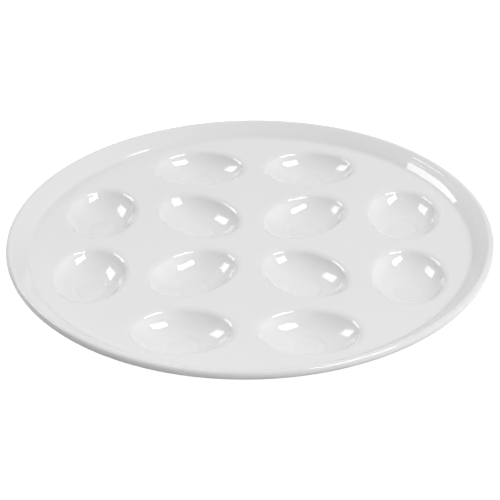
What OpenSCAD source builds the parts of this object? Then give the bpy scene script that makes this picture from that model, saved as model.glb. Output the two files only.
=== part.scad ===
// Round egg platter of fired clay with two coats of glaze.
// Twelve oval wells for half eggs are sunk into a flat deck inside a low sloping rim.
// The origin is on the table under the middle, and +Z points up.

/* [Platter] */
// Wall under the deck and the wells, with both coats of glaze
wall_t = 5; // [4:0.1:6]
// Height of the wells' undersides above the table
table_gap = 2; // [1.9:0.1:6]
// Thickness of a coat of glaze
glaze_t = 0.45; // [0.3:0.05:0.6]

/* [Rim] */
// Height of the lip's top above the deck
rim_rise = 8.1; // [7:0.1:12]
// Flat deck left between the outer wells and the cove of the rim, where they come closest
rim_gap = 4.2; // [2:0.1:20]
// Slope of the rim in degrees
rim_slope = 37; // [30:1:40]
// Radius of the cove that joins deck and rim
cove_r = 5; // [4:0.5:14]
// Radius of the rounded lip, which is half the rim's thickness
lip_r = 2.6; // [2.2:0.1:3]
// Radius under the rim where it leaves the flat underside
under_r = 12; // [6:0.5:16]

/* [Egg wells] */
// Length of a well's mouth, measured where its soft edge leaves the deck
well_l = 66.8; // [62:0.2:70]
// Width of a well's mouth
well_w = 50; // [47:0.2:52]
// Depth of a well below the deck
well_depth = 13.2; // [11.5:0.1:13.6]
// Radius of the soft edge round a well
well_edge_r = 5; // [3.5:0.1:6]
// Deck left between the two wells at each side of the platter
pair_gap = 5.1; // [4:0.1:16]
// Deck left between the inner wells and the outer wells, measured towards the rim
ring_gap = 6.9; // [5:0.1:20]
// Deck left across the middle, between inner wells that face each other
middle_gap = 26.5; // [22:0.1:50]

/* [Foot] */
// Distance from the lip in to the foot ring
foot_inset = 34.5; // [28:0.5:45]
// Width of the foot ring
foot_w = 6; // [5:0.5:8]
// Height of the bare clay at the bottom of the foot
bare_h = 1.6; // [1.4:0.1:1.8]
// Radius of the rounded edges of the bare foot
foot_edge_r = 1.2; // [0.8:0.1:1.3]
// Radius where the foot meets the underside
foot_cove_r = 3; // [2:0.5:4]

/* [Hidden] */
$fn = 128;
clay_color = "#efece4";
glaze_color = "#f8f8f6";
recess_color = "#f1f2ee";

// How far a cutting shape runs past what it cuts
overrun = 1;
// Arcs stop this many degrees before they would lie flat against their neighbours
blend_angle = 6;
// What is left of a radius at that angle
blend_share = cos(blend_angle);

deck_h = table_gap + wall_t + well_depth;
underside_h = deck_h - wall_t;
lip_z = deck_h + rim_rise - lip_r;
// Half the thickness of the straight part of the rim
rim_half = lip_r * blend_share;

// Distances from the platter's two middle lines to the wells
pair_at = (well_l + pair_gap) / 2;
inner_at = (well_l + middle_gap) / 2 / sqrt(2);
inner_reach = norm([well_l, well_w]) / 2 / sqrt(2);
outer_at = inner_at + inner_reach + ring_gap + well_w / 2;
// The point of the outer wells that is farthest from the middle, looked for in steps of an angle
reach_step = 3;
well_reach = max([for (a = [0:reach_step:90])
    norm([pair_at + cos(a) * well_l / 2, outer_at + sin(a) * well_w / 2])]);

// The rim starts outside the wells: the cove, then the slope, then the lip
cove_run = cove_r * blend_share * tan(rim_slope / 2);
slope_run = (rim_rise - lip_r + rim_half / cos(rim_slope)) / tan(rim_slope);
lip_x = well_reach + rim_gap + cove_run + slope_run;
platter_d = 2 * (lip_x + lip_r);
foot_d = platter_d - 2 * foot_inset;
foot_in_r = foot_d / 2 - foot_w;

// The well's section: a bowl arc round (0, bowl_r) crosses an edge arc round (well_w / 2, edge_z)
edge_top = well_depth + well_edge_r * (1 - blend_share);
edge_z = edge_top - well_edge_r;
bowl_r = (pow(well_w / 2, 2) + pow(edge_z, 2) - pow(well_edge_r, 2))
    / (2 * (edge_z + well_edge_r * blend_share));
well_stretch = well_l / well_w;
dome_stretch = (well_l / 2 + wall_t) / (well_w / 2 + wall_t);

// Radius at which a line along the rim's slope, offset from the middle of the lip, is at height z
function rim_x(offset, z) = lip_x + (z - lip_z - offset / cos(rim_slope)) / tan(rim_slope);

// Point at a distance from p in a direction given in degrees
function polar(p, dist, angle) = p + dist * [cos(angle), sin(angle)];

// The web between a corner and the arc that softens it. Its sides leave the corner at two angles.
module corner_web(corner, angle_1, angle_2, r) {
    half = (angle_2 - angle_1) / 2;
    middle = (angle_1 + angle_2) / 2;
    reach = r * blend_share / tan(half);
    difference() {
        polygon([
            polar(corner, reach, angle_1),
            polar(corner, reach, angle_2),
            polar(corner, -overrun * sin(half), middle)
        ]);
        translate(polar(corner, r * blend_share / sin(half), middle))
            circle(r = r);
    }
}

// Section of the platter as if it were filled in under the deck, drawn inwards by a skin
module filled_section(skin, bottom) {
    top = deck_h - skin;
    under = underside_h + skin;
    foot_r = foot_d / 2 - skin;
    half = rim_half - skin;
    difference() {
        polygon([
            [0, bottom],
            [foot_r, bottom],
            [foot_r, under],
            [rim_x(-half, under), under],
            polar([lip_x, lip_z], half, rim_slope - 90),
            polar([lip_x, lip_z], half, rim_slope + 90),
            [rim_x(half, top), top],
            [0, top]
        ]);
        corner_web([rim_x(-half, under), under], rim_slope, 180, under_r - skin);
    }
    translate([lip_x, lip_z])
        circle(r = lip_r - skin);
    corner_web([rim_x(half, top), top], rim_slope, 180, cove_r + skin);
    corner_web([foot_r, under], 270, 360, foot_cove_r + skin);
}

// Section of the space inside the foot ring, drawn outwards by a skin
module recess_section(skin, bottom) {
    corner = [foot_in_r + skin, underside_h + skin];
    difference() {
        translate([0, bottom])
            square([corner[0], corner[1] - bottom]);
        corner_web(corner, 180, 270, foot_cove_r + skin);
    }
}

// Half section of a well's space, with its bottom at the origin, drawn outwards by a skin
module well_section(skin) {
    top = edge_top + overrun;
    // Where the line between the centres of the two arcs is at the top
    web_x = well_w / 2 * (bowl_r - top) / (bowl_r - edge_z);
    intersection() {
        translate([0, bowl_r])
            circle(r = bowl_r + skin);
        translate([0, -skin - overrun])
            square([bowl_r + skin, top + skin + overrun]);
    }
    difference() {
        polygon([
            [web_x, top],
            [well_w / 2, edge_z],
            [well_w / 2, top]
        ]);
        translate([well_w / 2, edge_z])
            circle(r = well_edge_r - skin);
    }
}

// Half section of the dome that a well makes in the underside
module dome_section(wall) {
    intersection() {
        translate([0, bowl_r])
            circle(r = bowl_r + wall);
        translate([0, -wall - overrun])
            square([bowl_r + wall, well_depth - wall_t / 2 + wall + overrun]);
    }
}

// Puts a shape at each of the eight outer wells, with its long axis along the well's
module at_outer_wells() {
    for (turn = [0:90:270], side = [-1, 1]) {
        rotate(turn)
            translate([side * pair_at, outer_at, deck_h - well_depth])
                children();
    }
}

// The same for the four inner wells, which point at the platter's middle
module at_inner_wells() {
    for (turn = [0:90:270]) {
        rotate(turn)
            translate([inner_at, inner_at, deck_h - well_depth])
                rotate(45)
                    children();
    }
}

// Turns half a section into a round shape, then draws it out to an oval one
module oval(stretch) {
    scale([stretch, 1, 1])
        rotate_extrude()
            children();
}

module outer_domes(wall) {
    at_outer_wells()
        oval(dome_stretch)
            dome_section(wall);
}

module inner_domes(wall) {
    at_inner_wells()
        oval(dome_stretch)
            dome_section(wall);
}

// The space inside the foot ring, with the domes left standing in it
module recess(skin, bottom) {
    difference() {
        rotate_extrude()
            recess_section(skin, bottom);
        outer_domes(wall_t - skin);
        inner_domes(wall_t - skin);
    }
}

// Takes the sharp edges off the bottom of the bare foot
module foot_edges() {
    rotate_extrude() {
        corner_web([foot_d / 2 - glaze_t, 0], 90, 180, foot_edge_r);
        corner_web([foot_in_r + glaze_t, 0], 0, 90, foot_edge_r);
    }
}

// Half section of the glaze in a well, with a flat collar that lies in the glaze of the deck
module well_glaze_section() {
    difference() {
        union() {
            intersection() {
                well_section(glaze_t);
                translate([0, -glaze_t - overrun])
                    square([well_w / 2, well_depth + glaze_t + overrun]);
            }
            translate([0, well_depth - glaze_t])
                square([well_w / 2 + overrun, glaze_t]);
        }
        well_section(0);
    }
}

// Section of the space below the rim, outside the foot, that a dome's glaze may fill
module outside_section() {
    difference() {
        translate([foot_in_r, bare_h])
            square([lip_x - foot_in_r, underside_h + glaze_t - bare_h]);
        filled_section(glaze_t / 2, 0);
    }
}

module china_body() {
    color(clay_color)
        difference() {
            union() {
                rotate_extrude()
                    filled_section(glaze_t, 0);
                outer_domes(wall_t - glaze_t);
            }
            at_outer_wells()
                oval(well_stretch)
                    well_section(glaze_t);
            at_inner_wells()
                oval(well_stretch)
                    well_section(glaze_t);
            recess(glaze_t, -overrun);
            foot_edges();
        }
}

module outer_glaze() {
    color(glaze_color) {
        difference() {
            union() {
                rotate_extrude()
                    difference() {
                        filled_section(0, bare_h);
                        filled_section(glaze_t, 0);
                    }
                intersection() {
                    outer_domes(wall_t);
                    rotate_extrude()
                        outside_section();
                }
            }
            outer_domes(wall_t - glaze_t);
            at_outer_wells()
                well_mouth();
            at_inner_wells()
                well_mouth();
        }
        at_outer_wells()
            oval(well_stretch)
                well_glaze_section();
        at_inner_wells()
            oval(well_stretch)
                well_glaze_section();
    }
}

// Opens the deck's glaze for the glaze of a well, whose collar reaches a little further out
module well_mouth() {
    oval(well_stretch)
        translate([0, well_depth - glaze_t - overrun])
            square([(well_w + overrun) / 2, glaze_t + 2 * overrun]);
}

module recess_glaze() {
    color(recess_color)
        difference() {
            recess(glaze_t, bare_h);
            recess(0, 0);
        }
}

china_body();
outer_glaze();
recess_glaze();
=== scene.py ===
"""Looks of the white egg platter: glaze, bare clay, studio light and the photograph's view.

Sizes are in millimetres in the platter's own frame, and become metres when a mesh is made.
"""
import math

import bpy
import numpy as np
from mathutils import Matrix, Vector
from mathutils.geometry import delaunay_2d_cdt


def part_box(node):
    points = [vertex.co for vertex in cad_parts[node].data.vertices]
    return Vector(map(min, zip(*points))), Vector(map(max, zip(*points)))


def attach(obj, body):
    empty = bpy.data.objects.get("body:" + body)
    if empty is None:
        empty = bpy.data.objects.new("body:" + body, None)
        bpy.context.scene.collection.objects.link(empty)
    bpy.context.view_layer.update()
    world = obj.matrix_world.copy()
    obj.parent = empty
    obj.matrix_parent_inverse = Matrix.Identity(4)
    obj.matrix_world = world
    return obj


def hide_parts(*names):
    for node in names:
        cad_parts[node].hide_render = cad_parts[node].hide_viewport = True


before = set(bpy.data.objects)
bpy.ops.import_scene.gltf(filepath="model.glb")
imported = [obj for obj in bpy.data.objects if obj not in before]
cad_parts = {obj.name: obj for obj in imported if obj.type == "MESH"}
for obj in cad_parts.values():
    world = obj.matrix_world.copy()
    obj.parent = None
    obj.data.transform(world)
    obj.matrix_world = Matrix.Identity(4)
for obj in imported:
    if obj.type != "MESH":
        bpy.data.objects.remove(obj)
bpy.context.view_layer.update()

MM = 0.001
QUARTER = math.pi / 2

# The platter's radius, taken from the frame
PLATTER_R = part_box("outer_glaze")[1].x / MM

# Sizes of the platter's section, as in the part
WALL_T = 5
GLAZE_T = 0.45
TABLE_GAP = 2
WELL_L = 66.8
WELL_W = 50
WELL_DEPTH = 13.2
WELL_EDGE_R = 5
PAIR_GAP = 5.1
RING_GAP = 6.9
MIDDLE_GAP = 26.5
RIM_RISE = 8.1
COVE_R = 5
LIP_R = 2.6
UNDER_R = 12
FOOT_INSET = 34.5
FOOT_W = 6
BARE_H = 1.6
FOOT_COVE_R = 3

# The rim's slope, a degree less than the part's. The cove first rises to a steeper slope and a wide
# arc eases it back, as the lamps' reflections on the rim show.
RIM_SLOPE = math.radians(36)
COVE_SLOPE = math.radians(42.2)
RELAX_R = 55

# What follows from them
DECK_H = TABLE_GAP + WALL_T + WELL_DEPTH
UNDER_H = DECK_H - WALL_T
LIP_X = PLATTER_R - LIP_R
LIP_Z = DECK_H + RIM_RISE - LIP_R
FOOT_R = PLATTER_R - FOOT_INSET
FOOT_IN_R = FOOT_R - FOOT_W
PAIR_AT = (WELL_L + PAIR_GAP) / 2
INNER_AT = (WELL_L + MIDDLE_GAP) / 2 / math.sqrt(2)
OUTER_AT = INNER_AT + math.hypot(WELL_L, WELL_W) / 2 / math.sqrt(2) + RING_GAP + WELL_W / 2
EDGE_Z = WELL_DEPTH - WELL_EDGE_R
BOWL_R = ((WELL_W / 2) ** 2 + EDGE_Z**2 - WELL_EDGE_R**2) / (2 * WELL_DEPTH)
WELL_SLOPE = math.asin(WELL_W / 2 / (BOWL_R + WELL_EDGE_R))
WELL_STRETCH = WELL_L / WELL_W
DOME_STRETCH = (WELL_L / 2 + WALL_T) / (WELL_W / 2 + WALL_T)

# Round spot that the shaping tool pressed into the bottom of each well. It is flatter than the bowl,
# lies a step deeper, and has a smaller round step inside it.
SPOT_R = 10
SPOT_LIFT = 0.35
SPOT_STEP = 0.38
SPOT_SOFT = 2.8
RING_R = 5
RING_STEP = 0.15
RING_SOFT = 1.6

# Points in a ring of the food side, of the recess and of a well
COLUMNS = 480
RECESS_COLUMNS = 360
WELL_COLUMNS = 120
# Rings of points in each stretch of the surfaces
BOWL_STEPS = 36
EDGE_STEPS = 20
COVE_STEPS = 24
RELAX_STEPS = 16
SLOPE_STEPS = 10
LIP_STEPS = 30
UNDER_SLOPE_STEPS = 6
UNDER_STEPS = 10
UNDER_FLAT_STEPS = 15
RECESS_STEPS = 83
FILLET_STEPS = 8
WALL_STEPS = 6
BACK_STEPS = 4
# Up to this radius the rings of a well's mesh are round, and from there they widen to its oval
ROUND_R = 12
# Side of the deck's triangles, and width of the flat band that borders a well or the rim
DECK_STEP = 3.5
COLLAR = 0.6
# Distance in height over which a dome and what it meets are blended
DOME_BLEND = 4
# Step to the side by which the slope of the underside is found at the foot
SLOPE_PROBE = 0.2
# Least share of the foot's wall that stays straight below its fillet
STRAIGHT_SHARE = 0.25
# Lengths too small to matter: one keeps a division from failing, the other joins points
TINY = 1e-9
JOIN_DIST = 1e-6


def round_angles(count):
    """Evenly spaced angles round a circle, in radians."""
    return np.arange(count) * 2 * math.pi / count


def well_places():
    """Middle and direction of each well: eight in pairs at the sides, four round the middle."""
    places = []
    for turn in range(4):
        angle = turn * QUARTER
        spin = np.array([[math.cos(angle), -math.sin(angle)], [math.sin(angle), math.cos(angle)]])
        for side in (-1, 1):
            places.append((spin @ (side * PAIR_AT, OUTER_AT), angle))
        places.append((spin @ (INNER_AT, INNER_AT), angle + QUARTER / 2))
    return places


WELLS = well_places()


def arc(centre, radius, start, end, steps):
    """Points of an arc in the (distance, height) plane, from one angle to another in radians."""
    angles = np.linspace(start, end, steps + 1)
    return [(centre[0] + radius * math.cos(a), centre[1] + radius * math.sin(a)) for a in angles]


def line(start, end, steps):
    """Points between two points, without the first and the last."""
    shares = np.linspace(0, 1, steps + 1)[1:-1]
    return [tuple(np.array(start) * (1 - s) + np.array(end) * s) for s in shares]


def add_object(name, data):
    """A new object in the scene."""
    thing = bpy.data.objects.new(name, data)
    bpy.context.scene.collection.objects.link(thing)
    return thing


class Skin:
    """A surface built from rings of points. Distances are in millimetres."""

    def __init__(self):
        self.points = []
        self.faces = []

    def ring(self, points):
        """Adds points and returns their numbers."""
        first = len(self.points)
        self.points.extend(tuple(float(c) for c in p) for p in points)
        return list(range(first, first + len(points)))

    def bridge(self, last, ring):
        """Joins two closed rings of as many points with a band of faces."""
        for i in range(len(ring)):
            j = (i + 1) % len(ring)
            self.faces.append((ring[i], ring[j], last[j], last[i]))

    def grow(self, last, points):
        """Adds a ring of points, joins it to the last ring and returns its numbers."""
        ring = self.ring(points)
        self.bridge(last, ring)
        return ring

    def fan(self, ring, middle):
        """Closes a ring with triangles round a middle point."""
        top = self.ring([middle])[0]
        for i in range(len(ring)):
            self.faces.append((ring[i], ring[(i + 1) % len(ring)], top))

    def flip(self):
        """Turns the faces the other way."""
        self.faces = [tuple(reversed(f)) for f in self.faces]

    def normals(self):
        """Directions square to the surface at its points."""
        points = np.array(self.points)
        found = np.zeros_like(points)
        for size in (3, 4):
            faces = np.array([f for f in self.faces if len(f) == size], int).reshape(-1, size)
            across = points[faces[:, 2]] - points[faces[:, 0]]
            cross = np.cross(across, points[faces[:, -1]] - points[faces[:, 1]])
            for corner in range(size):
                np.add.at(found, faces[:, corner], cross)
        return found / np.maximum(np.linalg.norm(found, axis=1), TINY)[:, None]

    def close(self, edge, thickness):
        """Gives the open surface a back that far behind its faces, rounded off along a ring."""
        points = np.array(self.points)
        normals = self.normals()
        outer_faces = list(self.faces)
        inner = self.ring(points - normals * thickness)
        self.faces += [tuple(inner[i] for i in reversed(f)) for f in outer_faces]
        outer_edge = points[edge]
        inner_edge = outer_edge - normals[edge] * thickness
        last = edge
        for step in range(1, BACK_STEPS):
            angle = math.pi * step / BACK_STEPS
            across = (1 - math.cos(angle)) / 2
            drop = np.array([0, 0, math.sin(angle) * abs(thickness) / 2])
            last = self.grow(last, outer_edge * (1 - across) + inner_edge * across - drop)
        self.bridge(last, [inner[i] for i in edge])

    def build(self, name):
        """Makes the Blender object, with smooth shading."""
        mesh = bpy.data.meshes.new(name)
        mesh.from_pydata((np.array(self.points) * MM).tolist(), [], self.faces)
        mesh.update()
        mesh.shade_smooth()
        return add_object(name, mesh)


def circle_points(radius, height, count):
    """Points round the middle axis. Height may be one number or one for each point."""
    angles = round_angles(count)
    heights = np.broadcast_to(height, (count,))
    return np.c_[radius * np.cos(angles), radius * np.sin(angles), heights]


def ease(share):
    """Soft step from 0 to 1 while the share goes from 0 to 1."""
    share = np.clip(share, 0, 1)
    return share**2 * (3 - 2 * share)


def soft_edge(inside, width):
    """0 outside an edge and 1 inside it, softened over a width. Takes the distance inside it."""
    return ease(inside / width + 0.5)


def bowl_height(reach, skin):
    """Height of a well's round section over its bottom, drawn outwards by a skin."""
    return BOWL_R - np.sqrt(np.maximum((BOWL_R + skin) ** 2 - reach**2, 0))


def well_height(along, aside):
    """Height of a well's surface, with the round spots at its bottom."""
    bowl = DECK_H - WELL_DEPTH + bowl_height(np.hypot(along / WELL_STRETCH, aside), 0)
    r = np.hypot(along, aside)
    lift = SPOT_LIFT * np.maximum(1 - (r / SPOT_R) ** 2, 0)
    spot = SPOT_STEP * soft_edge(SPOT_R - r, SPOT_SOFT)
    ring = RING_STEP * soft_edge(RING_R - r, RING_SOFT)
    return bowl + lift - spot - ring


def well_rings():
    """Rings of points round a well's own middle: round at the bottom, oval at the mouth."""
    angles = round_angles(WELL_COLUMNS)
    bowl = BOWL_R * np.sin(np.linspace(0, WELL_SLOPE, BOWL_STEPS + 1)[1:])
    wide = bowl[-1]
    rings = []
    for aside in bowl:
        beyond = max(aside - ROUND_R, 0) / (wide - ROUND_R)
        along = aside + beyond * wide * (WELL_STRETCH - 1)
        x, y = along * np.cos(angles), aside * np.sin(angles)
        rings.append(np.c_[x, y, well_height(x, y)])
    centre = (WELL_W / 2, DECK_H - WELL_EDGE_R)
    for aside, z in arc(centre, WELL_EDGE_R, QUARTER + WELL_SLOPE, QUARTER, EDGE_STEPS)[1:]:
        rings.append(oval_ring(aside, z))
    rings.append(oval_ring(WELL_W / 2 + COLLAR, DECK_H))
    return rings


def oval_ring(aside, height):
    """An oval of a well's shape round its middle, with that half width."""
    oval = circle_points(aside, height, WELL_COLUMNS)
    oval[:, 0] *= WELL_STRETCH
    return oval


def placed(points, place):
    """Points round a well's middle, turned and moved to the well's place."""
    (x, y), turn = place
    along, aside, height = points.T
    cos, sin = math.cos(turn), math.sin(turn)
    return np.c_[x + along * cos - aside * sin, y + along * sin + aside * cos, height]


def rim_profile():
    """Distances and heights from the deck over the lip to the flat underside."""
    tangent = math.tan(RIM_SLOPE)
    half = LIP_R / math.cos(RIM_SLOPE)
    corner = LIP_X + (DECK_H - LIP_Z - half) / tangent
    under_corner = LIP_X + (UNDER_H - LIP_Z + half) / tangent
    both = COVE_R + RELAX_R
    eased = COVE_R + RELAX_R * math.cos(RIM_SLOPE) - both * math.cos(COVE_SLOPE)
    across = both * math.sin(COVE_SLOPE) - RELAX_R * math.sin(RIM_SLOPE)
    cove_at = corner + eased / tangent - across
    under_at = under_corner - UNDER_R * math.tan(RIM_SLOPE / 2)
    cove = arc((cove_at, DECK_H + COVE_R), COVE_R, -QUARTER, COVE_SLOPE - QUARTER, COVE_STEPS)
    middle = (cove_at + both * math.sin(COVE_SLOPE), DECK_H + COVE_R - both * math.cos(COVE_SLOPE))
    cove += arc(middle, RELAX_R, COVE_SLOPE + QUARTER, RIM_SLOPE + QUARTER, RELAX_STEPS)[1:]
    lip = arc((LIP_X, LIP_Z), LIP_R, RIM_SLOPE + QUARTER, RIM_SLOPE - QUARTER, LIP_STEPS)
    under_middle = (under_at, UNDER_H + UNDER_R)
    under = arc(under_middle, UNDER_R, RIM_SLOPE - QUARTER, -QUARTER, UNDER_STEPS)
    slope = line(cove[-1], lip[0], SLOPE_STEPS)
    return cove + slope + lip + line(lip[-1], under[0], UNDER_SLOPE_STEPS) + under


def in_well(x, y, well):
    """Distances of a place from a well's middle, along the well and across it."""
    (wx, wy), turn = well
    along = (x - wx) * math.cos(turn) + (y - wy) * math.sin(turn)
    aside = (y - wy) * math.cos(turn) - (x - wx) * math.sin(turn)
    return along, aside


def dome_height(x, y):
    """Height of the body's underside with the domes of the wells, smoothly joined."""
    found = np.full(np.shape(x), float(UNDER_H))
    for well in WELLS:
        along, aside = in_well(x, y, well)
        reach = np.hypot(along / DOME_STRETCH, aside)
        dome = DECK_H - WELL_DEPTH + bowl_height(reach, WALL_T)
        mixed = np.maximum(DOME_BLEND - np.abs(found - dome), 0) / DOME_BLEND
        found = np.minimum(found, dome) - mixed**2 * DOME_BLEND / 4
    return found


def dome_ring(radius, count):
    """Points round the middle axis on the domed underside."""
    angles = round_angles(count)
    height = dome_height(radius * np.cos(angles), radius * np.sin(angles))
    return circle_points(radius, height, count)


def deck(skin, mouths, outside):
    """Fills the flat deck between the wells and the rim with triangles."""
    loops = mouths + [outside]
    numbers = [n for loop in loops for n in loop]
    points = [Vector(skin.points[n][:2]) for n in numbers]
    edges, start = [], 0
    for loop in loops:
        edges += [(start + i, start + (i + 1) % len(loop)) for i in range(len(loop))]
        start += len(loop)
    rim = np.hypot(*points[-1])
    rows = np.arange(-rim, rim, DECK_STEP * math.sqrt(3) / 2)
    for k, y in enumerate(rows):
        for x in np.arange(-rim, rim, DECK_STEP) + (k % 2) * DECK_STEP / 2:
            if math.hypot(x, y) < rim - DECK_STEP / 2 and on_deck(x, y, DECK_STEP / 2):
                points.append(Vector((x, y)))
                numbers.append(skin.ring([(x, y, DECK_H)])[0])
    verts, _, tris, origins, *_ = delaunay_2d_cdt(points, edges, [], 0, JOIN_DIST)
    for tri in tris:
        middle = sum((verts[i] for i in tri), Vector((0, 0))) / 3
        if on_deck(middle.x, middle.y, 0):
            skin.faces.append(tuple(numbers[origins[i][0]] for i in tri))


def on_deck(x, y, margin):
    """Whether a point lies outside the collars of all wells by a margin."""
    for well in WELLS:
        along, aside = in_well(x, y, well)
        if math.hypot(along / WELL_STRETCH, aside) < WELL_W / 2 + COLLAR + margin:
            return False
    return True


def wall_and_fillet(skin, last, wall_r, side, count):
    """From the underside down the foot's wall to the glaze's edge. Side is -1 inside the ring."""
    start_r = wall_r + side * FOOT_COVE_R
    angles = round_angles(count)
    ux, uy = np.cos(angles), np.sin(angles)
    start = dome_height(start_r * ux, start_r * uy)
    ahead_r = start_r + side * SLOPE_PROBE
    ahead = dome_height(ahead_r * ux, ahead_r * uy)
    corner = start + (start - ahead) / SLOPE_PROBE * FOOT_COVE_R
    edge = BARE_H + GLAZE_T / 2
    foot_of_arc = np.maximum(corner - FOOT_COVE_R, edge + STRAIGHT_SHARE * (corner - edge))
    for share in np.linspace(0, 1, FILLET_STEPS + 1)[1:]:
        rest = 1 - share
        radius = start_r * rest**2 + wall_r * (1 - rest**2)
        height = start * rest**2 + 2 * corner * share * rest + foot_of_arc * share**2
        last = skin.grow(last, np.c_[radius * ux, radius * uy, height])
    for share in np.linspace(0, 1, WALL_STEPS + 1)[1:]:
        height = foot_of_arc * (1 - share) + edge * share
        last = skin.grow(last, np.c_[wall_r * ux, wall_r * uy, height])
    return last


def make_outer_glaze():
    """The coat over the deck, the wells, the rim and the outside of the foot."""
    skin = Skin()
    mouths = []
    rings = well_rings()
    for place in WELLS:
        last = skin.ring(placed(rings[0], place))
        skin.fan(last, (*place[0], well_height(0, 0)))
        for points in rings[1:]:
            last = skin.grow(last, placed(points, place))
        mouths.append(last)
    profile = rim_profile()
    profile.insert(0, (profile[0][0] - COLLAR, DECK_H))
    last = outside = skin.ring(circle_points(*profile[0], COLUMNS))
    for distance, height in profile[1:]:
        last = skin.grow(last, circle_points(distance, height, COLUMNS))
    deck(skin, mouths, outside)
    under = np.linspace(profile[-1][0], FOOT_R + FOOT_COVE_R, UNDER_FLAT_STEPS + 1)
    for radius in under[1:]:
        last = skin.grow(last, dome_ring(radius, COLUMNS))
    edge = wall_and_fillet(skin, last, FOOT_R, 1, COLUMNS)
    skin.close(edge, GLAZE_T)
    return skin.build("platter_glaze")


def make_recess_glaze():
    """The coat in the space inside the foot ring."""
    skin = Skin()
    radii = np.linspace(0, FOOT_IN_R - FOOT_COVE_R, RECESS_STEPS + 1)
    last = skin.ring(dome_ring(radii[1], RECESS_COLUMNS))
    skin.fan(last, (0, 0, float(dome_height(0.0, 0.0))))
    for radius in radii[2:]:
        last = skin.grow(last, dome_ring(radius, RECESS_COLUMNS))
    edge = wall_and_fillet(skin, last, FOOT_IN_R, -1, RECESS_COLUMNS)
    skin.close(edge, -GLAZE_T)
    skin.flip()
    return skin.build("recess_glaze_coat")


def math_node(nodes, links, operation, *inputs):
    """A math node with its inputs linked or set. Returns its result."""
    node = nodes.new("ShaderNodeMath")
    node.operation = operation
    for socket, value in zip(node.inputs, inputs):
        if isinstance(value, bpy.types.NodeSocket):
            links.new(value, socket)
        else:
            socket.default_value = value
    return node.outputs[0]


def vector_math(nodes, links, operation, vector, other=(0, 0, 0)):
    """A vector math node for a linked and a set vector. Returns its results by name."""
    node = nodes.new("ShaderNodeVectorMath")
    node.operation = operation
    links.new(vector, node.inputs[0])
    node.inputs[1].default_value = other
    return node.outputs


def mix_colours(nodes, links, share, first, second):
    """The first colour, which is linked, where the share is 0, and the second, where it is 1."""
    mix = nodes.new("ShaderNodeMix")
    mix.data_type = "RGBA"
    links.new(share, mix.inputs["Factor"])
    links.new(first, mix.inputs["A"])
    mix.inputs["B"].default_value = (*second, 1)
    return mix.outputs["Result"]


def noise(nodes, links, place, scale, detail):
    """Noise at a place in metres, with that many waves in a metre."""
    node = nodes.new("ShaderNodeTexNoise")
    links.new(place, node.inputs["Vector"])
    node.inputs["Scale"].default_value = scale
    node.inputs["Detail"].default_value = detail
    return node.outputs["Fac"]


# Noise mostly lies between these values, so a change from low to high takes place between them
NOISE_LOW, NOISE_HIGH = 0.3, 0.7


def between(nodes, links, share, low, high, low_share=NOISE_LOW, high_share=NOISE_HIGH):
    """A value or a colour that goes from low to high as the share does."""
    ramp = nodes.new("ShaderNodeValToRGB")
    links.new(share, ramp.inputs["Fac"])
    for element, at, value in zip(ramp.color_ramp.elements, (low_share, high_share), (low, high)):
        element.position = at
        element.color = (*value, 1) if isinstance(value, tuple) else (value, value, value, 1)
    return ramp.outputs["Color"]


def off_axis(nodes, links, place):
    """Distance of a place from the platter's middle axis, in metres."""
    flat = vector_math(nodes, links, "MULTIPLY", place, (1, 1, 0))["Vector"]
    return vector_math(nodes, links, "LENGTH", flat)["Value"]


def round_waves(nodes, links, radius, scale):
    """Round waves, with that many in a metre."""
    turns = math_node(nodes, links, "MULTIPLY", radius, scale * 2 * math.pi)
    return math_node(nodes, links, "SINE", turns)


def soft_step(nodes, links, value, start, end):
    """0 below the start, 1 above the end, and smooth between them."""
    step = nodes.new("ShaderNodeMapRange")
    step.interpolation_type = "SMOOTHSTEP"
    links.new(value, step.inputs["Value"])
    step.inputs["From Min"].default_value = start
    step.inputs["From Max"].default_value = end
    return step.outputs["Result"]


def bump(nodes, links, height, depth, normal=None):
    """Normals of a surface that the height raises by up to a depth in metres."""
    node = nodes.new("ShaderNodeBump")
    node.inputs["Strength"].default_value = 1
    node.inputs["Distance"].default_value = depth
    links.new(height, node.inputs["Height"])
    if normal is not None:
        links.new(normal, node.inputs["Normal"])
    return node.outputs["Normal"]


def principled(name):
    """A new material with its nodes, its links, its main shader and the place on the object."""
    material = bpy.data.materials.new(name)
    material.use_nodes = True
    nodes, links = material.node_tree.nodes, material.node_tree.links
    place = nodes.new("ShaderNodeTexCoord").outputs["Object"]
    return material, nodes, links, nodes["Principled BSDF"], place


# Glaze: slow waves of its thickness, and the fine skin of a fired glaze. Each has its number of waves
# in a metre, its depth in metres and its levels of detail.
WAVE_SCALE, WAVE_DEPTH, WAVE_DETAIL = 34, 0.00005, 1
SKIN_SCALE, SKIN_DEPTH, SKIN_DETAIL = 420, 0.0000012, 2
# Factors on both depths, on the food side and inside the foot
TOP_WAVES, UNDER_WAVES = 1, 2
# Soft changes of the glaze's tint and gloss
TINT_SCALE, TINT_DETAIL = 11, 2
GLOSS_DETAIL = 3
ROUGH_LEAST, ROUGH_MOST = 0.012, 0.03
GLAZE_IOR = 1.52
# Specks from the kiln: cells in a metre, a speck's radius as a share of a cell's side, and the share
# of the cells that have none
SPECK_SCALE, SPECK_SIZE = 95, 0.022
SPECK_SHARE = 0.93
SPECK_BROWN = (0.5, 0.46, 0.4)
# Faint rings that the shaping tool left high on the rim: how many in a metre, and their depth
RIM_RING_SCALE, RIM_RING_DEPTH = 480, 0.000018
# Where they fade in, as shares of the platter's radius
RIM_RINGS_FROM, RIM_RINGS_FULL = 0.93, 0.96
# The two near whites of the glaze, on the food side and inside the foot
TOP_WHITE, TOP_SHADE = (0.826, 0.826, 0.826), (0.81, 0.81, 0.809)
UNDER_WHITE, UNDER_SHADE = (0.85, 0.845, 0.83), (0.82, 0.81, 0.785)


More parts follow.
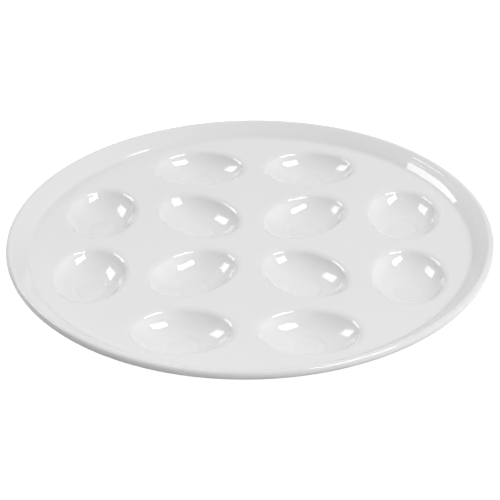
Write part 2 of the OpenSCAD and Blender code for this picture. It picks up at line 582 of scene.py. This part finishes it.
def kiln_specks(nodes, links, place):
    """1 on a few tiny round specks, 0 elsewhere."""
    cells = nodes.new("ShaderNodeTexVoronoi")
    links.new(place, cells.inputs["Vector"])
    cells.inputs["Scale"].default_value = SPECK_SCALE
    near = math_node(nodes, links, "LESS_THAN", cells.outputs["Distance"], SPECK_SIZE)
    pick = nodes.new("ShaderNodeSeparateColor")
    links.new(cells.outputs["Color"], pick.inputs["Color"])
    few = math_node(nodes, links, "GREATER_THAN", pick.outputs["Red"], SPECK_SHARE)
    return math_node(nodes, links, "MULTIPLY", near, few)


def glaze_material(name, thick, thin, waves):
    """Glossy white glaze: two near whites, a soft change of gloss, waves and a few specks."""
    material, nodes, links, shader, place = principled(name)
    drift = noise(nodes, links, place, TINT_SCALE, TINT_DETAIL)
    tint = between(nodes, links, drift, thick, thin)
    specks = kiln_specks(nodes, links, place)
    speckled = mix_colours(nodes, links, specks, tint, SPECK_BROWN)
    links.new(speckled, shader.inputs["Base Color"])
    haze = noise(nodes, links, place, WAVE_SCALE, GLOSS_DETAIL)
    rough = between(nodes, links, haze, ROUGH_LEAST, ROUGH_MOST)
    links.new(rough, shader.inputs["Roughness"])
    shader.inputs["IOR"].default_value = GLAZE_IOR
    radius = off_axis(nodes, links, place)
    edge = PLATTER_R * MM
    on_rim = soft_step(nodes, links, radius, RIM_RINGS_FROM * edge, RIM_RINGS_FULL * edge)
    ridges = round_waves(nodes, links, radius, RIM_RING_SCALE)
    ridges = math_node(nodes, links, "MULTIPLY", ridges, on_rim)
    ridged = bump(nodes, links, ridges, RIM_RING_DEPTH)
    slow = noise(nodes, links, place, WAVE_SCALE, WAVE_DETAIL)
    wavy = bump(nodes, links, slow, WAVE_DEPTH * waves, ridged)
    fine = noise(nodes, links, place, SKIN_SCALE, SKIN_DETAIL)
    skin = bump(nodes, links, fine, SKIN_DEPTH * waves, wavy)
    links.new(skin, shader.inputs["Normal"])
    return material


# Clay: its grain, and the turning marks round the foot
GRAIN_SCALE, GRAIN_DEPTH, GRAIN_DETAIL = 900, 0.00003, 4
TURN_SCALE, TURN_DEPTH = 1100, 0.000015
# Patches that the foot's sliding on shelves rubs grey and smoother: how grey they get, and the values
# of the noise between which they begin and are full
RUB_SCALE, RUB_DETAIL = 60, 5
RUB_MOST = 0.45
RUB_FROM, RUB_FULL = 0.52, 0.75
CLAY_ROUGH, RUBBED_ROUGH, CLAY_ROUGH_DETAIL = 0.85, 0.62, 3
CLAY_DARK, CLAY_LIGHT = (0.72, 0.68, 0.61), (0.80, 0.77, 0.71)
RUBBED_GREY = (0.58, 0.56, 0.53)


def clay_material():
    """Bare fired porcelain, matt and a little warm, ground on its foot."""
    material, nodes, links, shader, place = principled("bare_clay")
    grains = noise(nodes, links, place, GRAIN_SCALE, GRAIN_DETAIL)
    clay = between(nodes, links, grains, CLAY_DARK, CLAY_LIGHT)
    patches = noise(nodes, links, place, RUB_SCALE, RUB_DETAIL)
    rubbed = between(nodes, links, patches, 0.0, RUB_MOST, RUB_FROM, RUB_FULL)
    worn = mix_colours(nodes, links, rubbed, clay, RUBBED_GREY)
    links.new(worn, shader.inputs["Base Color"])
    smoother = noise(nodes, links, place, RUB_SCALE, CLAY_ROUGH_DETAIL)
    rough = between(nodes, links, smoother, CLAY_ROUGH, RUBBED_ROUGH)
    links.new(rough, shader.inputs["Roughness"])
    turns = round_waves(nodes, links, off_axis(nodes, links, place), TURN_SCALE)
    turned = bump(nodes, links, turns, TURN_DEPTH)
    grain = bump(nodes, links, grains, GRAIN_DEPTH, turned)
    links.new(grain, shader.inputs["Normal"])
    return material


# The photograph's view, found from the platter's outline and its wells. The focal length and the
# shift are in pixels of a square frame, and the distance is to the middle of the deck.
FOCAL_PX = 1725.78
SHIFT_PX = -7.619
FRAME_PX = 500
SENSOR = 36
VIEW_RAISE = math.radians(31.509)
VIEW_ROLL = math.radians(-0.921)
VIEW_TURN = math.radians(2.037)
VIEW_DIST = 1051.86
CLIP_START = 10


def make_camera():
    """The camera of the photograph's view."""
    data = bpy.data.cameras.new("camera")
    data.sensor_width = SENSOR
    data.lens = FOCAL_PX * SENSOR / FRAME_PX
    data.shift_y = SHIFT_PX / FRAME_PX
    data.clip_start = CLIP_START * MM
    back = Vector((0, -math.cos(VIEW_RAISE), math.sin(VIEW_RAISE)))
    right = Vector((1, 0, 0))
    up = back.cross(right)
    side = right * math.cos(VIEW_ROLL) + up * math.sin(VIEW_ROLL)
    top = up * math.cos(VIEW_ROLL) - right * math.sin(VIEW_ROLL)
    axes = Matrix((side, top, back)).transposed().to_4x4()
    place = Matrix.Translation(back * VIEW_DIST * MM)
    camera = add_object("camera", data)
    turned = Matrix.Rotation(VIEW_TURN, 4, "Z") @ place @ axes
    camera.matrix_world = Matrix.Translation((0, 0, DECK_H * MM)) @ turned
    bpy.context.scene.camera = camera


# Azimuth of the key lamp, in degrees
KEY_AZIMUTH = -24
# Softboxes: name, azimuth, height and roll in degrees, distance, width and height in metres, and
# strength in watts
LAMPS = (
    ("key", KEY_AZIMUTH, 57, -20, 2.5, 1.25, 0.5, 40),
    ("back", 151, 35, 50, 3.0, 1.45, 0.68, 18),
    ("fill", -75, 35, 0, 2.0, 1.2, 1.0, 2.7),
)

# Broad soft light off the studio's walls: azimuth and height in degrees, strength in the middle
WALLS = (
    (-36, 21, 0.78),
    (157, 28, 1.0),
    (11, 4, 1.0),
    (107, 19, 0.57),
)
# How narrow the glow of a wall is
WALL_FOCUS = 7
# Half of the floor's side in metres, and its plain grey
FLOOR_HALF = 4
FLOOR_GREY = 0.5
# Painted shadow of the platter on the floor, as its own underside mirrors it: shares of the platter's
# radius for its fade and for its shift away from the key lamp
SHADE_FROM, SHADE_TO = 0.92, 1.16
SHADE_SHIFT = 0.14
# Least strength of the backdrop where the platter mirrors it
BACKDROP_GLOSS = 0.2


def direction(azimuth, height):
    """Unit vector towards an azimuth and a height in degrees."""
    a, e = math.radians(azimuth), math.radians(height)
    return Vector((math.cos(e) * math.cos(a), math.cos(e) * math.sin(a), math.sin(e)))


def make_lamps():
    """The softboxes, each turned towards the platter."""
    for name, azimuth, raised, roll, distance, width, height, watts in LAMPS:
        data = bpy.data.lights.new(name, "AREA")
        data.shape = "RECTANGLE"
        data.size = width
        data.size_y = height
        data.energy = watts
        away = direction(azimuth, raised)
        spin = Matrix.Rotation(math.radians(roll), 4, "Z")
        turn = away.to_track_quat("Z", "Y").to_matrix().to_4x4() @ spin
        lamp = add_object(name, data)
        lamp.matrix_world = Matrix.Translation(away * distance) @ turn


def make_world():
    """Soft light, stronger towards the studio's bright walls. The camera sees a white backdrop."""
    world = bpy.data.worlds.new("studio")
    bpy.context.scene.world = world
    world.use_nodes = True
    nodes, links = world.node_tree.nodes, world.node_tree.links
    background = nodes["Background"]
    background.inputs["Color"].default_value = (1, 1, 1, 1)
    towards = nodes.new("ShaderNodeTexCoord").outputs["Generated"]
    total = 0.0
    for azimuth, height, strength in WALLS:
        wall = direction(azimuth, height)
        near = vector_math(nodes, links, "DOT_PRODUCT", towards, wall)["Value"]
        away = math_node(nodes, links, "MULTIPLY_ADD", near, WALL_FOCUS, -WALL_FOCUS)
        glow = math_node(nodes, links, "EXPONENT", away)
        total = math_node(nodes, links, "MULTIPLY_ADD", glow, strength, total)
    path = nodes.new("ShaderNodeLightPath").outputs
    clear = math_node(nodes, links, "MAXIMUM", path["Is Camera Ray"], path["Is Transmission Ray"])
    seen = math_node(nodes, links, "MULTIPLY_ADD", path["Is Glossy Ray"], BACKDROP_GLOSS, clear)
    links.new(math_node(nodes, links, "MAXIMUM", total, seen), background.inputs["Strength"])


def painted_shadow_fade(nodes, links):
    """Painted shadow: 0 on the floor under the platter, rising to 1 beyond the platter's shade."""
    edge = PLATTER_R * MM
    place = nodes.new("ShaderNodeTexCoord").outputs["Object"]
    shift = direction(KEY_AZIMUTH, 0) * SHADE_SHIFT * edge
    away = off_axis(nodes, links, vector_math(nodes, links, "ADD", place, shift)["Vector"])
    return soft_step(nodes, links, away, SHADE_FROM * edge, SHADE_TO * edge)


def white_floor_material():
    """Plain floor, white to the camera and in reflections beyond a painted shadow of the platter."""
    material = bpy.data.materials.new("floor_white")
    material.use_nodes = True
    nodes, links = material.node_tree.nodes, material.node_tree.links
    nodes.clear()
    out = nodes.new("ShaderNodeOutputMaterial")
    add = nodes.new("ShaderNodeAddShader")
    diffuse = nodes.new("ShaderNodeBsdfDiffuse")
    diffuse.inputs["Color"].default_value = (FLOOR_GREY, FLOOR_GREY, FLOOR_GREY, 1)
    glow = nodes.new("ShaderNodeEmission")
    path = nodes.new("ShaderNodeLightPath").outputs
    # Reflections see the floor's glow faded under the platter: a painted shadow.
    lit = math_node(nodes, links, "MULTIPLY", path["Is Glossy Ray"], painted_shadow_fade(nodes, links))
    seen = math_node(nodes, links, "MAXIMUM", path["Is Camera Ray"], lit)
    seen = math_node(nodes, links, "MAXIMUM", seen, path["Is Transmission Ray"])
    links.new(seen, glow.inputs["Strength"])
    links.new(diffuse.outputs[0], add.inputs[0])
    links.new(glow.outputs[0], add.inputs[1])
    links.new(add.outputs[0], out.inputs["Surface"])
    return material


def make_floor():
    """A wide square floor under the platter."""
    mesh = bpy.data.meshes.new("floor")
    corners = [(x * FLOOR_HALF, y * FLOOR_HALF, 0) for x, y in ((-1, -1), (1, -1), (1, 1), (-1, 1))]
    mesh.from_pydata(corners, [], [(0, 1, 2, 3)])
    mesh.materials.append(white_floor_material())
    floor = add_object("floor", mesh)


def main():
    """Puts both coats of glaze, the clay's material and the studio into the scene."""
    top = glaze_material("white_glaze", TOP_WHITE, TOP_SHADE, TOP_WAVES)
    under = glaze_material("thin_glaze", UNDER_WHITE, UNDER_SHADE, UNDER_WAVES)
    coats = (
        (make_outer_glaze(), "outer_glaze", "gloss_glaze", top),
        (make_recess_glaze(), "recess_glaze", "recess_glaze", under),
    )
    for piece, node, slot, material in coats:
        piece.data.materials.append(material)
        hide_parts(node)
        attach(piece, "root")
    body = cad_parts["china_body"]
    body.data.materials.clear()
    body.data.materials.append(clay_material())
    make_camera()
    make_lamps()
    make_world()
    make_floor()
    bpy.context.scene.view_settings.view_transform = "Standard"


main()
